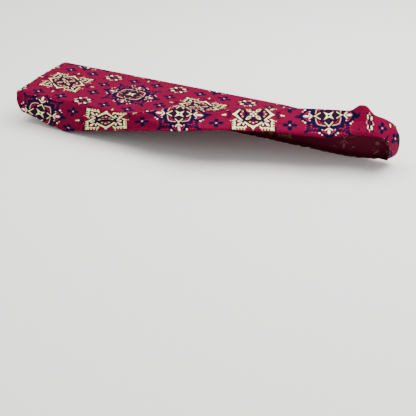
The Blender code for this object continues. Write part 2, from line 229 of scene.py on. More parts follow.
def column(guide):
    """The points of one column, on a path through the guide corners with each one rounded off."""
    corners = [np.array(corner) for corner in guide]
    path = [corners[0]]
    for before, corner, after in zip(corners, corners[1:], corners[2:]):
        back = np.linalg.norm(before - corner)
        ahead = np.linalg.norm(after - corner)
        if min(back, ahead) < SEAM_GAP:
            continue
        cut = min(ROUNDING, back / 2, ahead / 2)
        start = corner + (before - corner) * cut / back
        end = corner + (after - corner) * cut / ahead
        for t in np.linspace(0.0, 1.0, ROUNDING_POINTS):
            path.append((1 - t) ** 2 * start + 2 * t * (1 - t) * corner + t * t * end)
    path.append(corners[-1])
    path = np.array(path)
    run = np.concatenate([[0.0], np.cumsum(np.linalg.norm(np.diff(path, axis=0), axis=1))])
    places = row_distances(run[-1])
    return np.stack([np.interp(places, run, path[:, axis]) for axis in range(3)], axis=1)


def seated_hem(x):
    """Height of the seated hem, which rises towards both ends."""
    end = END_BOTTOMS[0] if x < 0 else END_BOTTOMS[1]
    return BOTTOM + (end - BOTTOM) * step(abs(x), *END_TAPER)


def gathered(x, y, out_x, out_y):
    """How far along the wall a column's hem is drawn, away from the nearest left corner."""
    radius = FRONT_CORNER if y < 0 else BACK_CORNER
    slack = TUCK + HEM_CORNER - radius
    from_left = x - LEFT - radius
    from_side = DEPTH / 2 - abs(y) - radius
    drawn_x = slack * (1.0 - abs(out_x)) * (1.0 - step(from_left, 0.0, GATHER))
    drawn_y = slack * (1.0 - abs(out_y)) * (1.0 - step(from_side, 0.0, GATHER))
    return drawn_x, -math.copysign(drawn_y, y)


def seated_top(y):
    """Height of the outside of the top, which falls a little towards the front edge."""
    return TOP + (FRONT_EDGE - TOP) * (1.0 - step(y, FRONT, 0.0))


def wall_column(x, y, out_x, out_y, seam, tucked=1.0):
    """A seated column. Tucked falls from 1 to 0 as the hem comes out from underneath."""
    low = seated_hem(x) + (SLIPPED[0][2] - BOTTOM - TUCK_SAG * 4 * tucked) * (1.0 - tucked)
    high = seam + SEAM_SET - SHOULDER
    bulge = LEFT_BULGE * max(0.0, -out_x)
    wall = (
        (x, y, low),
        (x + out_x * bulge, y + out_y * bulge, (low + high) / 2),
        (x + out_x * bulge / 2, y + out_y * bulge / 2, high),
        (x - out_x * SEAM_SET, y - out_y * SEAM_SET, seam),
    )
    drawn_x, drawn_y = gathered(x, y, out_x, out_y)
    under = (x - out_x * TUCK + drawn_x, y - out_y * TUCK + drawn_y, low + CLOTH / 2)
    return tucked * column((under,) + wall) + (1.0 - tucked) * column(wall)


def corner_columns(radius, side, start, end):
    """Round one left corner, at the front (side -1) or the back (side 1), in degrees."""
    columns = []
    for angle in np.linspace(math.radians(start), math.radians(end), CORNER_COLUMNS + 1):
        out_x = math.cos(angle)
        out_y = math.sin(angle)
        x = LEFT + radius + radius * out_x
        y = side * (DEPTH / 2 - radius) + radius * out_y
        columns.append(wall_column(x, y, out_x, out_y, seated_top(y) - SEAM_SET))
    return columns


def past_crest(crest_x, crest_y, crest_z, over):
    return (crest_x, crest_y + over, crest_z - OVER_DROP * over)


def slipped_column(hem_x, hem_y, hem_z, crest_x, crest_y, crest_z, over):
    """A column whose hem is in sight, on the front or on the top."""
    on_top = step(crest_y, FRONT + SEAM_SET, FRONT + SEAM_SET + EDGE_REACH)
    turn_z = max(FRONT_EDGE - SHOULDER * (1.0 - on_top), hem_z + LIP)
    rise = turn_z - hem_z
    turn_x = hem_x + (crest_x - hem_x) * rise / (rise + abs(crest_y - hem_y))
    return column(
        (
            (hem_x, hem_y, hem_z),
            (turn_x, hem_y + CLOTH * on_top, turn_z),
            (crest_x, crest_y, crest_z),
            past_crest(crest_x, crest_y, crest_z, over),
        )
    )


def front_columns():
    """From the middle of the front left corner to the front corner of the pulled-back end."""
    columns = corner_columns(FRONT_CORNER, -1, 225, 270)
    for x in np.linspace(LEFT + FRONT_CORNER, SLIPPED[0][0], SEATED_COLUMNS)[1:]:
        tucked = 1.0 - step(x, *TUCK_ENDS)
        columns.append(wall_column(x, FRONT, 0, -1, FRONT_EDGE - SEAM_SET, tucked))
    places = np.array([row[0] for row in SLIPPED])
    shares = np.linspace(0.0, 1.0, FRONT_COLUMNS + 2 - len(columns))[1:]
    shares = shares + CLOSING * shares * (1.0 - shares)
    for row in smooth_rows(SLIPPED, places, places[0] + (places[-1] - places[0]) * shares):
        columns.append(slipped_column(*row))
    return columns


def right_columns():
    places = np.linspace(0.0, 1.0, len(RIGHT_END))
    columns = []
    for row in smooth_rows(RIGHT_END, places, np.linspace(0.0, 1.0, END_COLUMNS + 1)):
        columns.append(column((row[0:3], row[3:6], row[6:9], past_crest(*row[6:10]))))
    return columns


def back_columns(seam_xs):
    """From the right end to the middle of the back left corner."""
    columns = []
    for x in seam_xs:
        seam = TOP - SEAM_SET - BACK_SLIDE * step(x, *SLIDE_ENDS)
        columns.append(wall_column(x, BACK, 0, 1, seam))
    return columns + corner_columns(BACK_CORNER, 1, 90, 135)[1:]


def left_columns():
    columns = corner_columns(BACK_CORNER, 1, 135, 180)
    straight = END_COLUMNS - 2 * CORNER_COLUMNS
    for y in np.linspace(BACK - BACK_CORNER, FRONT + FRONT_CORNER, straight + 1)[1:-1]:
        columns.append(wall_column(LEFT, y, -1, 0, seated_top(y) - SEAM_SET))
    return columns + corner_columns(FRONT_CORNER, -1, 180, 225)


def lift_folds(columns):
    """Pushes the soft folds out of, or into, the pulled-back skirt."""
    shares = np.linspace(0.0, 1.0, columns.shape[1])
    out = outward(columns)
    fade = np.minimum(1.0, shares / FOLD_FADE[0]) * np.minimum(1.0, (1.0 - shares) / FOLD_FADE[1])
    hem_x = columns[:, 0, 0]
    for at_x, half_width, rise, up, up_spread in FOLDS:
        beside = np.exp(-(((hem_x - at_x) / half_width) ** 2))
        height = fade * np.exp(-(((shares - up) / up_spread) ** 2))
        columns += rise * beside[:, None, None] * height[None, :, None] * out


def outward(points):
    """Which way the outside of a grid of points faces, at each point."""
    out = np.cross(np.gradient(points, axis=0), np.gradient(points, axis=1))
    return out / np.linalg.norm(out, axis=2, keepdims=True)


def smooth_inside(columns, slipped):
    """Evens out the pulled-back cloth between its hem and its seam, which stay where they are."""
    inside = slice(1, -1)
    for _ in range(SMOOTHING_PASSES):
        before = columns[slipped.start - 1 : slipped.stop - 1, inside]
        after = columns[slipped.start + 1 : slipped.stop + 1, inside]
        columns[slipped, inside] = columns[slipped, inside] / 2 + (before + after) / 4


def lift_bump(columns):
    """Lifts the crest of the pulled-back skirt into a peak near the right end."""
    front = columns[: FRONT_COLUMNS + 1]
    shares = np.linspace(0.0, 1.0, front.shape[1])
    height = BUMP_HEIGHT * np.exp(-(np.abs((front[:, -1, 0] - BUMP_X) / BUMP_WIDTH) ** 3))
    front[:, :, 2] += height[:, None] * np.interp(shares, *BUMP_SHARES)[None, :]


# The turned hem stands out a little, with a groove along its stitching and small puckers in it.
# The seams dip in: the one round the top, and the one that joins the band's two ends.
HEM_RISE = 0.0009
HEM_STEP = 0.001
STITCH_UP = 0.0105
GROOVE_DEPTH = 0.0010
GROOVE_WIDTH = 0.0015
PUCKERS = (
    # height, length, turn
    (0.0005, 0.0230, 0.4),
    (0.0004, 0.0370, 1.9),
    (0.0003, 0.0310, 4.1),
)
PUCKER_REACH = 0.030
SEAM_DIP = 0.0012
SEAM_REACH = 0.006

# Soft creases in the skirt, pressed in (or standing out, below zero) along a line from one place to
# another, in mm along the skirt and up from its hem.
CREASES = (
    # along, up, to_along, to_up, width, depth
    (236.0, 20.0, 276.0, 30.0, 4.0, 1.4),
    (276.0, 30.0, 322.0, 41.0, 4.0, 2.2),
    (322.0, 41.0, 396.0, 42.0, 4.0, 2.6),
    (396.0, 42.0, 446.0, 58.0, 4.0, 2.0),
    (190.0, 64.0, 262.0, 46.0, 7.0, 0.9),
    (60.0, 44.0, 118.0, 58.0, 9.0, 0.8),
    (446.0, -2.0, 586.0, -2.0, 9.0, -8.0),
    (590.0, 30.0, 655.0, 52.0, 8.0, 0.8),
    (735.0, 62.0, 800.0, 70.0, 9.0, 0.9),
    (930.0, 26.0, 1010.0, 44.0, 8.0, 1.2),
    (1120.0, 40.0, 1195.0, 52.0, 9.0, 1.1),
    (1236.0, 76.0, 1276.0, 60.0, 8.0, 1.0),
    (-120.0, 52.0, -20.0, 70.0, 9.0, 0.9),
    (1420.0, 50.0, 1500.0, 64.0, 10.0, 1.0),
    (1620.0, 46.0, 1760.0, 60.0, 12.0, 0.9),
    (1900.0, 62.0, 2040.0, 50.0, 12.0, 0.8),
    (2240.0, 48.0, 2330.0, 66.0, 11.0, 1.0),
)
# The cloth is never quite even: long low waves across it, whose sizes don't repeat. They fade out
# towards the hem and the seam, over these distances in mm.
WAVE_FADE = (4.0, 20.0)
WAVES = (
    # height, along_length, up_length, turn
    (0.00050, 0.170, 0.140, 0.7),
    (0.00040, 0.113, -0.210, 2.1),
    (0.00030, 0.071, 0.095, 4.4),
    (0.00018, 0.043, -0.060, 5.5),
)


def waves(along, up):
    return sum(
        height * np.sin(2 * np.pi * (along / along_length + up / up_length) + turn)
        for height, along_length, up_length, turn in WAVES
    )


def puckers(along):
    return sum(height * np.sin(2 * np.pi * along / length + turn) for height, length, turn in PUCKERS)


def beside_line(along, up, crease):
    """How deep a crease is at each point: full along its line and fading to its sides and ends."""
    start_along, start_up, end_along, end_up, width, depth = crease
    run_along = end_along - start_along
    run_up = end_up - start_up
    share = ((along - start_along) * run_along + (up - start_up) * run_up) / (run_along**2 + run_up**2)
    share = np.clip(share, 0.0, 1.0)
    off = np.hypot(along - start_along - share * run_along, up - start_up - share * run_up)
    return depth * MM * np.exp(-((off / width) ** 2)) * (0.3 + 0.7 * np.sin(np.pi * share) ** 0.5)


def finish_skirt(around, along, up):
    """Presses the creases, the stitching and the seams into the skirt's outside."""
    from_seam = up[:, -1:] - up
    rise = waves(along * MM, up * MM) * step(up, *WAVE_FADE) * step(from_seam, *WAVE_FADE)
    for crease in CREASES:
        rise -= beside_line(along, up, crease)
    rise += HEM_RISE * (1.0 - step(up * MM, STITCH_UP - HEM_STEP, HEM_WIDTH))
    rise -= GROOVE_DEPTH * np.exp(-(((up * MM - STITCH_UP) / GROOVE_WIDTH) ** 2))
    rise += puckers(along * MM) * np.exp(-up * MM / PUCKER_REACH)
    rise -= SEAM_DIP * (1.0 - step(from_seam * MM, 0.0, SEAM_REACH))
    rise[[0, -1]] -= SEAM_DIP
    return around + rise[:, :, None] * outward(around)


def skirt_surface():
    """Points of the skirt's outside, one column after another round the cover, hem first."""
    front = front_columns()
    right = right_columns()
    along = np.array([points[-1][0] for points in front[CORNER_COLUMNS:]][::-1])
    back = back_columns(np.interp(along, along[[-1, 0]], (LEFT + BACK_CORNER, along[0])))
    left = left_columns()
    columns = np.array(front + right[1:] + back[1:] + left[1:-1])
    slipped = slice(CORNER_COLUMNS + SEATED_COLUMNS, FRONT_COLUMNS + END_COLUMNS + SMOOTHED_BACK)
    lift_folds(columns[: FRONT_COLUMNS + 1])
    smooth_inside(columns, slipped)
    lift_bump(columns)
    return columns


# The print is a square repeat of medallions, cream and navy in turn. Where its middles fall along
# the skirt, how high up from the hem they are, how tall the repeat is where the cloth is stretched,
# and how far it leans to the right on its way up. Above the height of the fold, the cloth that is
# folded in hides a part of the print, as a share of the repeat. Odd places are navy.
SKIRT_PRINT = (
    # along, place, middle, repeat_height, lean, fold, hidden, lean_above
    (-820.0, -2.2, 90.0, 250.0, 0.0, 0.0, 0.0, 0.0),
    (-250.0, -0.2, 70.0, 240.0, 0.1, 0.0, 0.0, 0.1),
    (6.8, 0.71, 52.0, 215.0, 0.30, 0.0, 0.0, 0.30),
    (27.4, 0.817, 52.0, 215.0, 0.30, 0.0, 0.0, 0.30),
    (78.9, 1.0, 63.6, 215.0, 0.30, 0.0, 0.0, 0.30),
    (126.9, 1.183, 62.0, 215.0, 0.30, 0.0, 0.0, 0.30),
    (155.1, 1.29, 55.0, 205.0, 0.32, 0.0, 0.0, 0.32),
    (191.2, 1.42, 49.4, 190.0, 0.34, 0.0, 0.0, 0.34),
    (212.0, 1.5, 40.0, 202.0, 0.34, 10.0, 0.0, 0.34),
    (242.3, 1.6, 48.0, 180.0, 0.20, 20.0, 0.04, 0.28),
    (274.6, 1.71, 57.5, 178.0, 0.04, 30.0, 0.126, 0.21),
    (320.1, 1.865, 57.0, 178.0, 0.03, 41.0, 0.165, 0.14),
    (361.5, 2.0, 56.7, 178.0, 0.03, 41.0, 0.20, 0.07),
    (395.5, 2.115, 57.0, 176.0, 0.0, 42.0, 0.225, 0.04),
    (443.0, 2.28, 57.8, 172.0, 0.0, 60.0, 0.27, 0.0),
    (477.1, 2.4, 57.0, 170.0, 0.0, 80.0, 0.0, 0.0),
    (510.7, 2.5, 57.7, 168.0, 0.0, 0.0, 0.0, 0.0),
    (576.4, 2.71, 68.1, 205.0, 0.0, 0.0, 0.0, 0.0),
    (648.0, 3.0, 74.8, 232.0, 0.0, 0.0, 0.0, 0.0),
    (705.8, 3.26, 80.0, 236.0, 0.0, 0.0, 0.0, 0.0),
    (771.0, 3.5, 77.5, 244.0, 0.0, 0.0, 0.0, 0.0),
    (882.5, 4.0, 86.3, 282.0, 0.0, 0.0, 0.0, 0.0),
    (992.5, 4.5, 81.4, 262.0, 0.0, 0.0, 0.0, 0.0),
    (1040.6, 4.70, 89.4, 257.0, 0.0, 0.0, 0.0, 0.0),
    (1107.9, 5.0, 95.5, 257.0, 0.0, 0.0, 0.0, 0.0),
    (1169.0, 5.285, 76.5, 257.0, 0.0, 0.0, 0.0, 0.0),
    (1200.0, 5.41, 63.0, 257.0, 0.0, 0.0, 0.0, 0.0),
    (1208.0, 5.340, 173.0, 260.0, 0.0, 0.0, 0.0, 0.0),
    (1215.0, 5.346, 174.0, 260.0, 0.0, 0.0, 0.0, 0.0),
    (1228.1, 5.5, 174.5, 260.0, 0.0, 0.0, 0.0, 0.0),
    (1263.7, 5.826, 154.5, 235.0, 0.0, 0.0, 0.0, 0.0),
    (1295.8, 6.174, 158.8, 235.0, 0.0, 0.0, 0.0, 0.0),
    (1317.0, 6.22, 170.0, 235.0, 0.0, 0.0, 0.0, 0.0),
    (1347.0, 6.28, 190.0, 235.0, 0.0, 0.0, 0.0, 0.0),
    (1400.0, 6.45, 190.0, 240.0, 0.0, 0.0, 0.0, 0.0),
    (1500.0, 6.86, 120.0, 250.0, 0.0, 0.0, 0.0, 0.0),
    (2000.0, 8.86, 85.0, 250.0, 0.0, 0.0, 0.0, 0.0),
)


def lengths(around):
    """How far along the skirt and up from its hem each point is, in mm. Along is from the front
    left corner, and is measured on the wall where the hem is gathered."""
    number = (np.arange(len(around) - 1) + JOIN_COLUMN) % (len(around) - 1)
    loose = (number >= CORNER_COLUMNS + SEATED_COLUMNS) & (number < FRONT_COLUMNS + END_COLUMNS)
    hem = np.linalg.norm(np.diff(around[:, 0], axis=0), axis=1)
    wall = np.linalg.norm(np.diff(around[:, MEASURED_ROW], axis=0), axis=1)
    run = np.concatenate([[0.0], np.cumsum(np.where(loose, hem, wall))])
    run -= run[len(around) - 1 - JOIN_COLUMN + CORNER_COLUMNS]
    steps = np.linalg.norm(np.diff(around, axis=1), axis=2)
    up = np.concatenate([np.zeros((len(around), 1)), np.cumsum(steps, axis=1)], axis=1)
    return np.repeat(run[:, None], up.shape[1], axis=1) / MM, up / MM


def skirt_print(along, up):
    """Where each point of the skirt falls in the print."""
    rows = even_rows(SKIRT_PRINT, along[:, 0])[:, 1:].T[:, :, None]
    across, middle, height, lean, fold, hidden, lean_above = rows
    rows_up = (up - middle) / height + np.where(up > fold, hidden, 0.0)
    return np.stack([across - np.where(up > fold, lean_above, lean) * rows_up, rows_up], axis=2)


def even_rows(table, wanted):
    """The table's rows read where their first value is the wanted one, on a curve that never
    overshoots a row."""
    rows = np.array(table)
    places = rows[:, 0]
    slopes = np.diff(rows, axis=0) / np.diff(places)[:, None]
    before = slopes[:-1]
    after = slopes[1:]
    level = np.where(before * after > 0, 2 * before * after / (before + after + 1e-12), 0.0)
    return read_rows(rows, np.concatenate([slopes[:1], level, slopes[-1:]]), places, wanted)


def sheet_mesh(points, printed_at, along, up):
    """A grid of cloth laid on the points. It keeps where each point falls in the print, and how
    far along the cloth and up it is in metres, which the knit and the stitching are drawn on."""
    mesh = bmesh.new()
    wide = len(points) - 1
    tall = points.shape[1] - 1
    bmesh.ops.create_grid(mesh, x_segments=wide, y_segments=tall, size=0.5)
    printed = mesh.loops.layers.uv.new("print")
    measured = mesh.loops.layers.uv.new("lengths")
    grid = {}
    for vert in mesh.verts:
        i = round((vert.co.x + 0.5) * wide)
        j = round((vert.co.y + 0.5) * tall)
        grid[vert] = (i, j)
        vert.co = points[i, j]
    for face in mesh.faces:
        for loop in face.loops:
            loop[printed].uv = printed_at[grid[loop.vert]]
            loop[measured].uv = (along[grid[loop.vert]] * MM, up[grid[loop.vert]] * MM)
        face.smooth = True
    return mesh, grid


def keep_mesh(name, mesh):
    """A new object in the scene that has this mesh."""
    data = bpy.data.meshes.new(name)
    mesh.to_mesh(data)
    mesh.free()
    piece = bpy.data.objects.new(name, data)
    bpy.context.scene.collection.objects.link(piece)
    return piece


KNIT_THICKNESS = 0.0012


def give_thickness(piece):
    """Thickens the cloth inwards, with its wrong side in the piece's second material."""
    solid = piece.modifiers.new("thickness", "SOLIDIFY")
    solid.thickness = KNIT_THICKNESS
    solid.offset = -1.0
    solid.use_even_offset = False
    solid.material_offset = 1


def dye(red, green, blue):
    """A colour, given as it is read off a screen."""
    parts = [value / 255.0 for value in (red, green, blue)]
    return tuple(p / 12.92 if p <= 0.04045 else ((p + 0.055) / 1.055) ** 2.4 for p in parts) + (1.0,)


CREAM = dye(230, 248, 164)
WHITE = dye(255, 247, 208)
OLIVE = dye(176, 160, 92)
NAVY = dye(1, 3, 42)
PURPLE = dye(40, 0, 34)
DARK_WINE = dye(60, 0, 22)
PALE_PINK = dye(232, 172, 160)
ROSE = dye(172, 34, 66)
DULL_ROSE = dye(146, 14, 52)
GROUND = dye(106, 0, 41)
THIN_DYE = dye(124, 10, 56)
SHADED_GROUND = dye(82, 0, 32)
THREAD = dye(64, 0, 24)
WRONG_SIDE = dye(96, 14, 42)

# How far the edge of a printed shape takes to fade out, and how wide the thin line is that goes
# round some of them, as shares of the repeat. The navy has run a little over its edges.
INK_EDGE = 0.007
THIN_LINE = 0.013
NAVY_RUN = 0.0022
# Both parts of a step of one along the diagonal.
DIAGONAL = 0.7071


class Chart:
    """Draws the print in shader nodes. A shape is how far outside it each point is, in repeats.
    Spread is how far the other inks have run in over the edges of the cream and the white."""

    def __init__(self, material, spread=0.0):
        self.tree = material.node_tree
        self.spread = spread

    def node(self, kind, **settings):
        made = self.tree.nodes.new(kind)
        for name, value in settings.items():
            setattr(made, name, value)
        return made

    def fill(self, sockets, values):
        for socket, value in zip(sockets, values):
            if isinstance(value, bpy.types.NodeSocket):
                self.tree.links.new(value, socket)
            else:
                socket.default_value = value

    def sum(self, operation, *values, clamp=False):
        made = self.node("ShaderNodeMath", operation=operation, use_clamp=clamp)
        self.fill(made.inputs, values)
        return made.outputs[0]

    def vector(self, operation, *values):
        made = self.node("ShaderNodeVectorMath", operation=operation)
        self.fill(made.inputs, values)
        return made.outputs["Value" if operation in ("LENGTH", "DOT_PRODUCT") else "Vector"]

    def pair(self, x, y):
        made = self.node("ShaderNodeCombineXYZ")
        self.fill(made.inputs, (x, y))
        return made.outputs[0]

    def apart(self, place):
        made = self.node("ShaderNodeSeparateXYZ")
        self.fill(made.inputs, (place,))
        return made.outputs[0], made.outputs[1]

    def mapped(self, name):
        """Where each point lies in one of the piece's two maps."""
        return self.node("ShaderNodeUVMap", uv_map=name).outputs[0]

    def patches(self, scale, detail):
        """An uneven value from 0 to 1 that is fixed to the cloth."""
        made = self.node("ShaderNodeTexNoise")
        made.inputs["Scale"].default_value = scale
        made.inputs["Detail"].default_value = detail
        self.tree.links.new(self.node("ShaderNodeTexCoord").outputs["Object"], made.inputs["Vector"])
        return made.outputs["Fac"]

    def slanted(self, place):
        """The same place along the diagonal and across it."""
        return self.pair(
            self.vector("DOT_PRODUCT", place, (DIAGONAL, DIAGONAL, 0.0)),
            self.vector("DOT_PRODUCT", place, (DIAGONAL, -DIAGONAL, 0.0)),
        )

    def scaled(self, place, at, size):
        """The place counted from a middle, in half widths and half heights."""
        offset = (-at[0] / size[0], -at[1] / size[1], 0.0)
        return self.vector("MULTIPLY_ADD", place, (1 / size[0], 1 / size[1], 0.0), offset)

    def spot(self, place, at, size):
        """An oval."""
        length = self.vector("LENGTH", self.scaled(place, at, size))
        return self.sum("MULTIPLY_ADD", length, min(size), -min(size))

    def petal(self, place, at, size, aside):
        """A pointed petal, where two ovals overlap that lie a little to its sides."""
        return self.both(*(self.spot(place, (at, side), size) for side in (aside, -aside)))

    def lozenge(self, place, at, size):
        """A diamond."""
        steepness = 1.0 / math.hypot(1 / size[0], 1 / size[1])
        off = self.vector("ABSOLUTE", self.scaled(place, at, size))
        return self.sum("SUBTRACT", self.vector("DOT_PRODUCT", off, (steepness, steepness, 0.0)), steepness)

    def stroke(self, place, start, end, half_width):
        """A straight line with round ends."""
        run = (end[0] - start[0], end[1] - start[1])
        square = run[0] ** 2 + run[1] ** 2
        off = self.vector("SUBTRACT", place, (start[0], start[1], 0.0))
        share = self.vector("DOT_PRODUCT", off, (run[0] / square, run[1] / square, 0.0))
        share = self.sum("ADD", share, 0.0, clamp=True)
        foot = self.vector("MULTIPLY_ADD", share, (-run[0], -run[1], 0.0), off)
        return self.sum("SUBTRACT", self.vector("LENGTH", foot), half_width)

    def line(self, place, corners, half_width):
        """A bent line through its corners."""
        return self.either(*(self.stroke(place, a, b, half_width) for a, b in zip(corners, corners[1:])))

    def band(self, value, low, high):
        """Between two values."""
        off = self.sum("ABSOLUTE", self.sum("SUBTRACT", value, (low + high) / 2))
        return self.sum("SUBTRACT", off, (high - low) / 2)

    def above(self, value, low):
        return self.sum("SUBTRACT", low, value)

    def either(self, first, *others):
        for other in others:
            first = self.sum("MINIMUM", first, other)
        return first

    def both(self, first, *others):
        for other in others:
            first = self.sum("MAXIMUM", first, other)
        return first

    def mix(self, under, over, share):
        made = self.node("ShaderNodeMix", data_type="RGBA", clamp_factor=True)
        self.fill((made.inputs["Factor"], made.inputs[6], made.inputs[7]), (share, under, over))
        return made.outputs[2]

    def inked(self, shape, wider):
        """1 inside the shape, 0 outside."""
        return self.sum("MULTIPLY_ADD", shape, -1.0 / INK_EDGE, wider / INK_EDGE + 0.5, clamp=True)

    def lay(self, cloth, ink, shape, outline=None, wider=THIN_LINE):
        """The cloth with the shape printed on it, and round it a thin line where one is given."""
        run = {CREAM: -self.spread, WHITE: -self.spread, NAVY: NAVY_RUN}.get(ink, 0.0)
        if outline is not None:
            cloth = self.mix(cloth, outline, self.inked(shape, wider))
        return self.mix(cloth, ink, self.inked(shape, run))

    def dab(self, cloth, ink, place, at, size, outline=None, wider=THIN_LINE):
        """The cloth with an oval printed on it."""
        return self.lay(cloth, ink, self.spot(place, at, size), outline, wider)


# The dots outside the cream medallions.
SPRIGS = (
    # at, size
    ((0.322, 0.020), 0.014),
    ((0.346, 0.012), 0.011),
    ((0.336, 0.050), 0.016),
    ((0.360, 0.062), 0.013),
)
SPRIG_HEIGHT = 1.2


def cream_medallion(chart, cloth, near, slant):
    """A flower of cream petals in a lobed frame, with a chevron on each side, and at each corner a
    fringed bracket round a small palmette. Near is the place in the quarter, long side first, and
    slant is the same place along its diagonal."""
    a, b = chart.apart(near)
    # The brackets with their fringes, and the lines inside and outside them.
    cloth = chart.lay(cloth, PURPLE, chart.stroke(near, (0.234, 0.118), (0.228, 0.224), 0.009))
    cloth = chart.lay(cloth, PURPLE, chart.stroke(near, (0.312, 0.232), (0.304, 0.308), 0.009))
    bracket = chart.both(chart.band(a, 0.244, 0.265), chart.above(b, 0.100))
    teeth = chart.sum("SUBTRACT", chart.sum("PINGPONG", b, 0.0205), 0.0080)
    fringe = chart.both(chart.band(a, 0.262, 0.291), chart.above(b, 0.105), teeth)
    ends = chart.stroke(near, (0.234, 0.098), (0.262, 0.104), 0.008)
    corner = chart.spot(slant, (0.378, 0.0), (0.026, 0.018))
    cloth = chart.lay(cloth, CREAM, chart.either(bracket, fringe, ends, corner))
    # The palmettes inside the brackets.
    leaf = chart.either(
        chart.spot(slant, (0.278, 0.0), (0.031, 0.017)),
        chart.spot(near, (0.194, 0.134), (0.025, 0.012)),
        chart.stroke(slant, (0.226, 0.0), (0.250, 0.0), 0.007),
    )
    cloth = chart.lay(cloth, WHITE, leaf, DARK_WINE, 0.017)
    # The chevrons, their points outwards, and the arcs behind them.
    arc = chart.line(near, ((0.202, 0.0), (0.180, 0.052), (0.136, 0.092)), 0.013)
    cloth = chart.lay(cloth, PURPLE, arc)
    chevron = chart.either(
        chart.stroke(near, (0.256, 0.0), (0.214, 0.054), 0.0145),
        chart.stroke(near, (0.214, 0.054), (0.160, 0.114), 0.0115),
        chart.lozenge(near, (0.260, 0.0), (0.034, 0.026)),
    )
    cloth = chart.lay(cloth, CREAM, chevron, DARK_WINE, 0.012)
    # The buds between the arcs and the lobed frame.
    cloth = chart.dab(cloth, PALE_PINK, near, (0.168, 0.0), (0.012, 0.014), DARK_WINE)
    cloth = chart.dab(cloth, DULL_ROSE, near, (0.150, 0.020), (0.008, 0.010))
    cloth = chart.dab(cloth, OLIVE, near, (0.148, 0.046), (0.011, 0.014))
    # The lobed frame, whose corners point between the chevrons, and the petals in it.
    lobes = chart.line(near, ((0.106, 0.020), (0.122, 0.070), (0.132, 0.132)), 0.012)
    cloth = chart.lay(cloth, NAVY, lobes)
    cloth = chart.lay(cloth, CREAM, chart.petal(slant, 0.094, (0.052, 0.034), 0.012), DARK_WINE, 0.012)
    cloth = chart.dab(cloth, ROSE, slant, (0.092, 0.0), (0.027, 0.013))
    heart = chart.either(
        chart.spot(near, (0.106, 0.014), (0.022, 0.018)),
        chart.lozenge(near, (0.082, 0.0), (0.030, 0.020)),
    )
    cloth = chart.lay(cloth, NAVY, heart)
    cloth = chart.dab(cloth, NAVY, near, (0.056, 0.0), (0.010, 0.009))
    cloth = chart.dab(cloth, WHITE, near, (0.030, 0.0), (0.016, 0.013), DARK_WINE, 0.012)
    cloth = chart.dab(cloth, ROSE, near, (0.0, 0.0), (0.013, 0.013))
    # The sprigs outside, with a bud at the corner, and the darts between the medallions.
    for at, size in SPRIGS:
        cloth = chart.dab(cloth, PURPLE, near, at, (size, size * SPRIG_HEIGHT))
    cloth = chart.dab(cloth, PALE_PINK, near, (0.314, 0.126), (0.008, 0.009))
    dart = chart.either(
        chart.lozenge(near, (0.388, 0.0), (0.018, 0.019)),
        chart.stroke(near, (0.388, 0.0), (0.422, 0.0), 0.009),
    )
    return chart.lay(cloth, CREAM, dart)


# The rows of dots at the corners of the navy medallions.
FRINGE = (
    # out, offset, size, ink
    (0.230, 0.022, 0.010, DULL_ROSE),
    (0.250, 0.0, 0.014, NAVY),
    (0.274, 0.022, 0.014, NAVY),
    (0.302, 0.0, 0.010, DULL_ROSE),
)


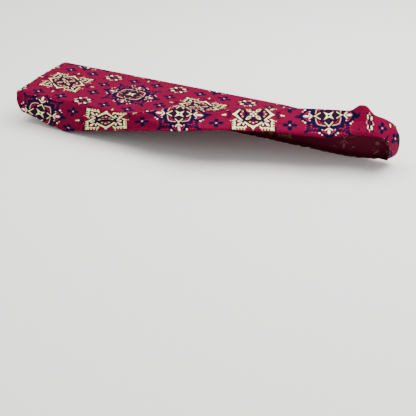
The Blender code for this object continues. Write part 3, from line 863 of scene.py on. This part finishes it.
def navy_medallion(chart, cloth, near, slant):
    """A cream star among navy petals in a square navy frame, with a stepped pocket on each side
    that holds a leaf, and a dotted fringe at the corners."""
    a, b = chart.apart(near)
    # The dotted fringe.
    beads = chart.pair(a, chart.sum("PINGPONG", b, 0.022))
    for out, offset, size, ink in FRINGE:
        bead = chart.spot(beads, (out, offset), (size, size))
        cloth = chart.lay(cloth, ink, chart.both(bead, chart.above(b, 0.130)))
    cloth = chart.dab(cloth, NAVY, slant, (0.406, 0.0), (0.042, 0.022))
    # The stepped pockets, each with a leaf in it.
    stepped = chart.pair(chart.sum("MULTIPLY_ADD", chart.sum("PINGPONG", b, 0.015), 1.6, a), b)
    border = chart.either(
        chart.lozenge(stepped, (0.270, 0.0), (0.150, 0.170)),
        chart.lozenge(near, (0.400, 0.0), (0.048, 0.026)),
    )
    cloth = chart.lay(cloth, NAVY, border)
    cloth = chart.lay(cloth, ROSE, chart.lozenge(near, (0.270, 0.0), (0.077, 0.096)))
    cloth = chart.lay(cloth, GROUND, chart.lozenge(near, (0.270, 0.0), (0.069, 0.086)))
    leaf = chart.either(
        chart.petal(near, 0.290, (0.045, 0.028), 0.010),
        chart.line(near, ((0.218, 0.0), (0.234, 0.020), (0.256, 0.048)), 0.0075),
    )
    cloth = chart.lay(cloth, WHITE, leaf, DARK_WINE, 0.010)
    cloth = chart.dab(cloth, PALE_PINK, near, (0.246, 0.086), (0.010, 0.010))
    # The square frame, open at the pockets, and the dots outside it.
    cloth = chart.lay(cloth, NAVY, chart.both(chart.band(a, 0.168, 0.212), chart.above(b, 0.026)))
    cloth = chart.dab(cloth, WHITE, near, (0.308, 0.124), (0.013, 0.013))
    cloth = chart.dab(cloth, PALE_PINK, near, (0.336, 0.092), (0.010, 0.010))
    # Inside the frame the ground is darker, with the arcs, the lobes, the petals and the star on it.
    cloth = chart.lay(cloth, SHADED_GROUND, chart.sum("SUBTRACT", a, 0.168))
    arcs = chart.line(near, ((0.171, 0.048), (0.162, 0.104), (0.144, 0.144)), 0.0055)
    cloth = chart.lay(cloth, PALE_PINK, arcs, DARK_WINE, 0.010)
    cloth = chart.dab(cloth, NAVY, slant, (0.126, 0.0), (0.022, 0.032))
    cloth = chart.dab(cloth, ROSE, near, (0.124, 0.100), (0.008, 0.008))
    cloth = chart.lay(cloth, NAVY, chart.lozenge(near, (0.092, 0.0), (0.052, 0.060)))
    cloth = chart.lay(cloth, DARK_WINE, chart.lozenge(near, (0.092, 0.0), (0.022, 0.022)))
    chevron = chart.either(
        chart.stroke(near, (0.184, 0.0), (0.112, 0.052), 0.0055),
        chart.spot(near, (0.178, 0.0), (0.015, 0.010)),
    )
    cloth = chart.lay(cloth, CREAM, chevron, DARK_WINE, 0.013)
    cloth = chart.lay(cloth, CREAM, chart.lozenge(slant, (0.0, 0.0), (0.090, 0.027)), DARK_WINE)
    return chart.dab(cloth, PURPLE, near, (0.0, 0.0), (0.018, 0.018))


def florets(chart, cloth, near):
    """Navy four-petalled flowers in pairs between the medallions, and cream ones in the gaps."""
    off = chart.vector("ABSOLUTE", chart.vector("SUBTRACT", near, (0.5, 0.174, 0.0)))
    across, up = chart.apart(off)
    small = chart.pair(chart.sum("MAXIMUM", across, up), chart.sum("MINIMUM", across, up))
    cloth = chart.dab(cloth, NAVY, small, (0.056, 0.0), (0.038, 0.029))
    cloth = chart.dab(cloth, PALE_PINK, small, (0.0, 0.0), (0.012, 0.012), DARK_WINE, 0.009)
    # The cream ones have their petals on the slant and navy between them.
    off = chart.vector("SUBTRACT", (0.5, 0.5, 0.0), near)
    slant = chart.slanted(off)
    across, up = chart.apart(off)
    upright = chart.pair(up, across)
    cloth = chart.dab(cloth, NAVY, upright, (0.052, 0.0), (0.030, 0.018))
    cloth = chart.dab(cloth, NAVY, slant, (0.140, 0.0), (0.022, 0.020))
    cloth = chart.dab(cloth, CREAM, slant, (0.088, 0.0), (0.033, 0.022), PURPLE, 0.013)
    tips = chart.line(upright, ((0.124, 0.0), (0.108, 0.0), (0.092, 0.026)), 0.005)
    return chart.lay(cloth, PALE_PINK, tips)


def print_on(chart, ground):
    """The whole print, drawn in one corner of the repeat and folded out over the cloth."""
    across, up = chart.apart(chart.mapped("print"))
    from_middle = chart.sum("PINGPONG", across, 0.5)
    from_row = chart.sum("PINGPONG", up, 0.5)
    longer = chart.sum("MAXIMUM", from_middle, from_row)
    near = chart.pair(longer, chart.sum("MINIMUM", from_middle, from_row))
    slant = chart.slanted(near)
    odd = chart.sum("PINGPONG", chart.sum("ADD", chart.sum("ROUND", across), chart.sum("ROUND", up)), 1.0)
    cream = cream_medallion(chart, ground, near, slant)
    navy = navy_medallion(chart, ground, near, slant)
    return florets(chart, chart.mix(cream, navy, odd), near)


WALE = 0.0013
COURSE = 0.0010
COURSE_SHARE = 0.6
STITCH_WIDTH = 0.0010
STITCH_LENGTH = 0.0018
# The edge of an ink is wider than a stitch, so the stitches are drawn this much larger.
STITCH_SCALE = 20.0


def stitching(chart, along, up):
    """A row of stitches along the turned hem."""
    row = chart.band(up, STITCH_UP - STITCH_WIDTH / 2, STITCH_UP + STITCH_WIDTH / 2)
    between = chart.above(chart.sum("PINGPONG", along, STITCH_LENGTH), STITCH_WIDTH / 2)
    return chart.sum("MULTIPLY", chart.both(row, between), STITCH_SCALE)


def knit_relief(chart, along, up):
    """The wales and courses of the knit."""
    wale = chart.sum("SINE", chart.sum("MULTIPLY", along, 2 * math.pi / WALE))
    course = chart.sum("SINE", chart.sum("MULTIPLY", up, 2 * math.pi / COURSE))
    bump = chart.node("ShaderNodeBump")
    bump.inputs["Strength"].default_value = 0.35
    bump.inputs["Distance"].default_value = 0.0002
    height = chart.sum("ADD", wale, chart.sum("MULTIPLY", course, COURSE_SHARE))
    chart.tree.links.new(height, bump.inputs["Height"])
    return bump.outputs["Normal"]


def darker(colour, share):
    return tuple(part * share for part in colour[:3]) + (1.0,)


def printed_knit(name, spread, hemmed):
    """Fine stretch knit, printed on its right side: matt, with a faint bloom at the edges."""
    material = bpy.data.materials.new(name)
    material.use_nodes = True
    chart = Chart(material, spread)
    # The dye took a little unevenly, in soft patches and in small flecks.
    uneven = chart.sum("MULTIPLY_ADD", chart.patches(14.0, 4.0), 1.6, -0.3, clamp=True)
    thin = chart.sum("MULTIPLY_ADD", chart.patches(260.0, 2.0), 2.4, -1.1, clamp=True)
    ground = chart.mix(chart.mix(GROUND, darker(GROUND, 0.80), uneven), THIN_DYE, thin)
    cloth = print_on(chart, ground)
    along, up = chart.apart(chart.mapped("lengths"))
    if hemmed:
        cloth = chart.lay(cloth, THREAD, stitching(chart, along, up))
    shader = material.node_tree.nodes["Principled BSDF"]
    shader.inputs["Roughness"].default_value = 0.82
    shader.inputs["Specular IOR Level"].default_value = 0.04
    shader.inputs["Sheen Weight"].default_value = 0.02
    shader.inputs["Sheen Tint"].default_value = (0.9, 0.35, 0.5, 1.0)
    material.node_tree.links.new(cloth, shader.inputs["Base Color"])
    material.node_tree.links.new(knit_relief(chart, along, up), shader.inputs["Normal"])
    return material


# How much of the print shows through to the wrong side.
SHOWS_THROUGH = 0.07


def knit_wrong_side(name):
    """The unprinted side of the same knit, with a faint trace of the print showing through."""
    material = bpy.data.materials.new(name)
    material.use_nodes = True
    chart = Chart(material)
    cloth = chart.mix(WRONG_SIDE, darker(WRONG_SIDE, 0.7), chart.patches(22.0, 3.0))
    cloth = chart.mix(cloth, print_on(chart, cloth), SHOWS_THROUGH)
    shader = material.node_tree.nodes["Principled BSDF"]
    shader.inputs["Roughness"].default_value = 0.92
    shader.inputs["Specular IOR Level"].default_value = 0.15
    material.node_tree.links.new(cloth, shader.inputs["Base Color"])
    return material


columns = skirt_surface()
smooth = np.concatenate([columns[JOIN_COLUMN:], columns[: JOIN_COLUMN + 1]])
along, up = lengths(smooth)
around = finish_skirt(smooth, along, up)
seam = np.roll(around[:-1, -1], JOIN_COLUMN, axis=0)
mesh, grid = sheet_mesh(around, skirt_print(along, up), along, up)
ends = [vert for vert in mesh.verts if grid[vert][0] in (0, len(around) - 1)]
bmesh.ops.remove_doubles(mesh, verts=ends, dist=1e-6)
skirt = keep_mesh("skirt_cloth", mesh)
skirt.data.materials.append(printed_knit("printed_skirt", 0.0, True))
skirt.data.materials.append(knit_wrong_side("wrong_side_skirt"))
give_thickness(skirt)
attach(skirt, "root")
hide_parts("skirt")

# The top panel
# An oblong of the same printed knit, sewn edge to edge to the skirt. It lies flat to the left,
# and to the right it runs out as a strip behind the pulled-back skirt.
BACK_ROUNDING = 0.006
# How far in from its seam the panel bends: beside a low seam, and beside a seam of this height.
FLAT_REACH = 0.012
CREST_REACH = 0.075
RAISED_SEAM = 0.0155
# Up to the first width the panel is a strip between its seams, and from the second on it lies flat.
NARROW = (0.022, 0.070)
# How fast the pull of the two ends fades out along the panel.
END_PULL = 96
# The pale lines of the print are thinner on the top than on the skirt.
TOP_SPREAD = 0.0045


def shares_along(line):
    """How far along the line each of its points is, from 0 to 1."""
    run = np.concatenate([[0.0], np.cumsum(np.linalg.norm(np.diff(line, axis=0), axis=1))])
    return run / run[-1]


def top_surface(seam):
    """Points of the top panel's outside, spanned between the four sides of its seam."""
    front = seam[: FRONT_COLUMNS + 1]
    right = seam[FRONT_COLUMNS : FRONT_COLUMNS + END_COLUMNS + 1]
    back = seam[FRONT_COLUMNS + END_COLUMNS : 2 * FRONT_COLUMNS + END_COLUMNS + 1][::-1]
    left = np.concatenate([seam[2 * FRONT_COLUMNS + END_COLUMNS :], seam[:1]])[::-1]
    u = shares_along(front)[:, None]
    at_left = (1.0 - u) ** END_PULL
    at_right = u**END_PULL
    v = np.linspace(0.0, 1.0, END_COLUMNS + 1)[None, :]
    v = v + at_left * (shares_along(left) - v) + at_right * (shares_along(right) - v)
    points = (1.0 - v[..., None]) * front[:, None] + v[..., None] * back[:, None]
    points += at_left[..., None] * (left - points[0])[None]
    points += at_right[..., None] * (right - points[-1])[None]
    width = np.linalg.norm(front[:, :2] - back[:, :2], axis=1)[:, None]
    narrow = 1.0 - step(width, *NARROW)
    points[:, :, 2] *= narrow
    points[:, :, 2] += (1.0 - narrow) * top_heights(points, front, back, left, width * v, width)
    points[:, :, 1] += BACK_ROUNDING * narrow * (1.0 - at_right) * np.sin(np.pi * v)
    return points


def top_heights(points, front, back, left, from_front, width):
    """Heights of the top panel where it is wide: flat, but for its edges and behind the crest."""
    crest = step(front[:, 2:], 0.0, RAISED_SEAM)
    front_reach = np.minimum(FLAT_REACH + (CREST_REACH - FLAT_REACH) * crest, width)
    flat = np.array([[seated_top(point[1]) for point in line] for line in points])
    at_front = np.clip(1.0 - from_front / front_reach, 0.0, 1.0) ** 2
    at_back = np.clip(1.0 - (width - from_front) / FLAT_REACH, 0.0, 1.0) ** 2
    heights = flat + (front[:, 2:] - flat[:, :1]) * at_front
    heights += (back[:, 2:] - flat[:, -1:]) * at_back
    at_left = np.clip(1.0 - (points[:, :, 0] - points[:1, :, 0]) / FLAT_REACH, 0.0, 1.0) ** 2
    return heights + (left[None, :, 2] - heights[:1]) * at_left


# Where the middles of the print fall along the top panel, and how far back they are.
TOP_PRINT = (
    # along, place, middle
    (-0.759, -1.0, -0.018),
    (-0.497, 0.0, -0.017),
    (-0.360, 0.5, -0.0145),
    (-0.232, 1.0, -0.0105),
    (-0.103, 1.5, -0.009),
    (0.022, 2.0, -0.007),
    (0.1515, 2.5, -0.008),
    (0.270, 3.0, -0.011),
    (0.532, 4.0, -0.011),
    (0.792, 5.0, -0.011),
)
# Where its rows fall, front to back.
TOP_ROWS = (
    # from_middle, row
    (-0.140, -0.755),
    (-0.093, -0.50),
    (0.0, 0.0),
    (0.092, 0.50),
    (0.150, 0.81),
)


def top_print(points):
    """Where each point of the top panel falls in the print."""
    places = np.array([row[0] for row in TOP_PRINT])
    rows = smooth_rows(TOP_PRINT, places, points[:, :, 0].ravel()).reshape(points.shape[:2] + (3,))
    slopes = np.hypot(np.diff(points[:, :, 1], axis=1), np.diff(points[:, :, 2], axis=1))
    from_back = np.cumsum(np.pad(slopes, ((0, 0), (0, 1)))[:, ::-1], axis=1)[:, ::-1]
    from_middle = (BACK - SEAM_SET - from_back - rows[:, :, 2]).ravel()
    up = even_rows(TOP_ROWS, from_middle)[:, 1]
    return np.stack([rows[:, :, 1], up.reshape(points.shape[:2])], axis=2)


panel = top_surface(seam)
mesh, _ = sheet_mesh(panel, top_print(panel), panel[:, :, 0] / MM, panel[:, :, 1] / MM)
top_panel = keep_mesh("top_cloth", mesh)
top_panel.data.materials.append(printed_knit("printed_top", TOP_SPREAD, False))
top_panel.data.materials.append(knit_wrong_side("wrong_side_top"))
give_thickness(top_panel)
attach(top_panel, "root")
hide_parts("top_panel")

# The floor and the light
# A plain pale floor under the hem, and soft studio light from above and from the right.
FLOOR_HEIGHT = -0.1262
FLOOR_SIZE = 8.0
FLOOR_PAINT = dye(244, 243, 241)
SKY_STRENGTH = 0.95


def lay_floor():
    mesh = bmesh.new()
    bmesh.ops.create_grid(mesh, x_segments=1, y_segments=1, size=FLOOR_SIZE)
    floor = keep_mesh("floor", mesh)
    floor.data.transform(Matrix.Translation((0, 0, FLOOR_HEIGHT)))
    material = bpy.data.materials.new("pale_floor")
    material.use_nodes = True
    shader = material.node_tree.nodes["Principled BSDF"]
    shader.inputs["Base Color"].default_value = FLOOR_PAINT
    shader.inputs["Roughness"].default_value = 0.9
    floor.data.materials.append(material)


def hang_light(name, place, size, power, tint):
    """A soft oblong light that faces the middle of the cover."""
    lamp = bpy.data.lights.new(name, "AREA")
    lamp.shape = "RECTANGLE"
    lamp.size, lamp.size_y = size
    lamp.energy = power
    lamp.color = tint
    light = bpy.data.objects.new(name, lamp)
    aim = -np.array(place) / np.linalg.norm(place)
    side = np.cross(aim, (0.0, 0.0, 1.0))
    side = side / np.linalg.norm(side)
    facing = Matrix((side, np.cross(side, aim), -aim)).transposed()
    light.matrix_world = Matrix.Translation(place) @ facing.to_4x4()
    bpy.context.scene.collection.objects.link(light)


lay_floor()
hang_light("side_light", (1.3, 0.9, 2.4), (2.4, 1.6), 125.0, (1.0, 0.99, 0.98))
hang_light("top_light", (-0.6, 0.1, 2.8), (2.6, 2.0), 75.0, (1.0, 0.99, 0.98))
world = bpy.data.worlds.new("studio")
world.use_nodes = True
sky = world.node_tree.nodes["Background"]
sky.inputs["Color"].default_value = (1.0, 1.0, 1.0, 1.0)
sky.inputs["Strength"].default_value = SKY_STRENGTH
bpy.context.scene.world = world
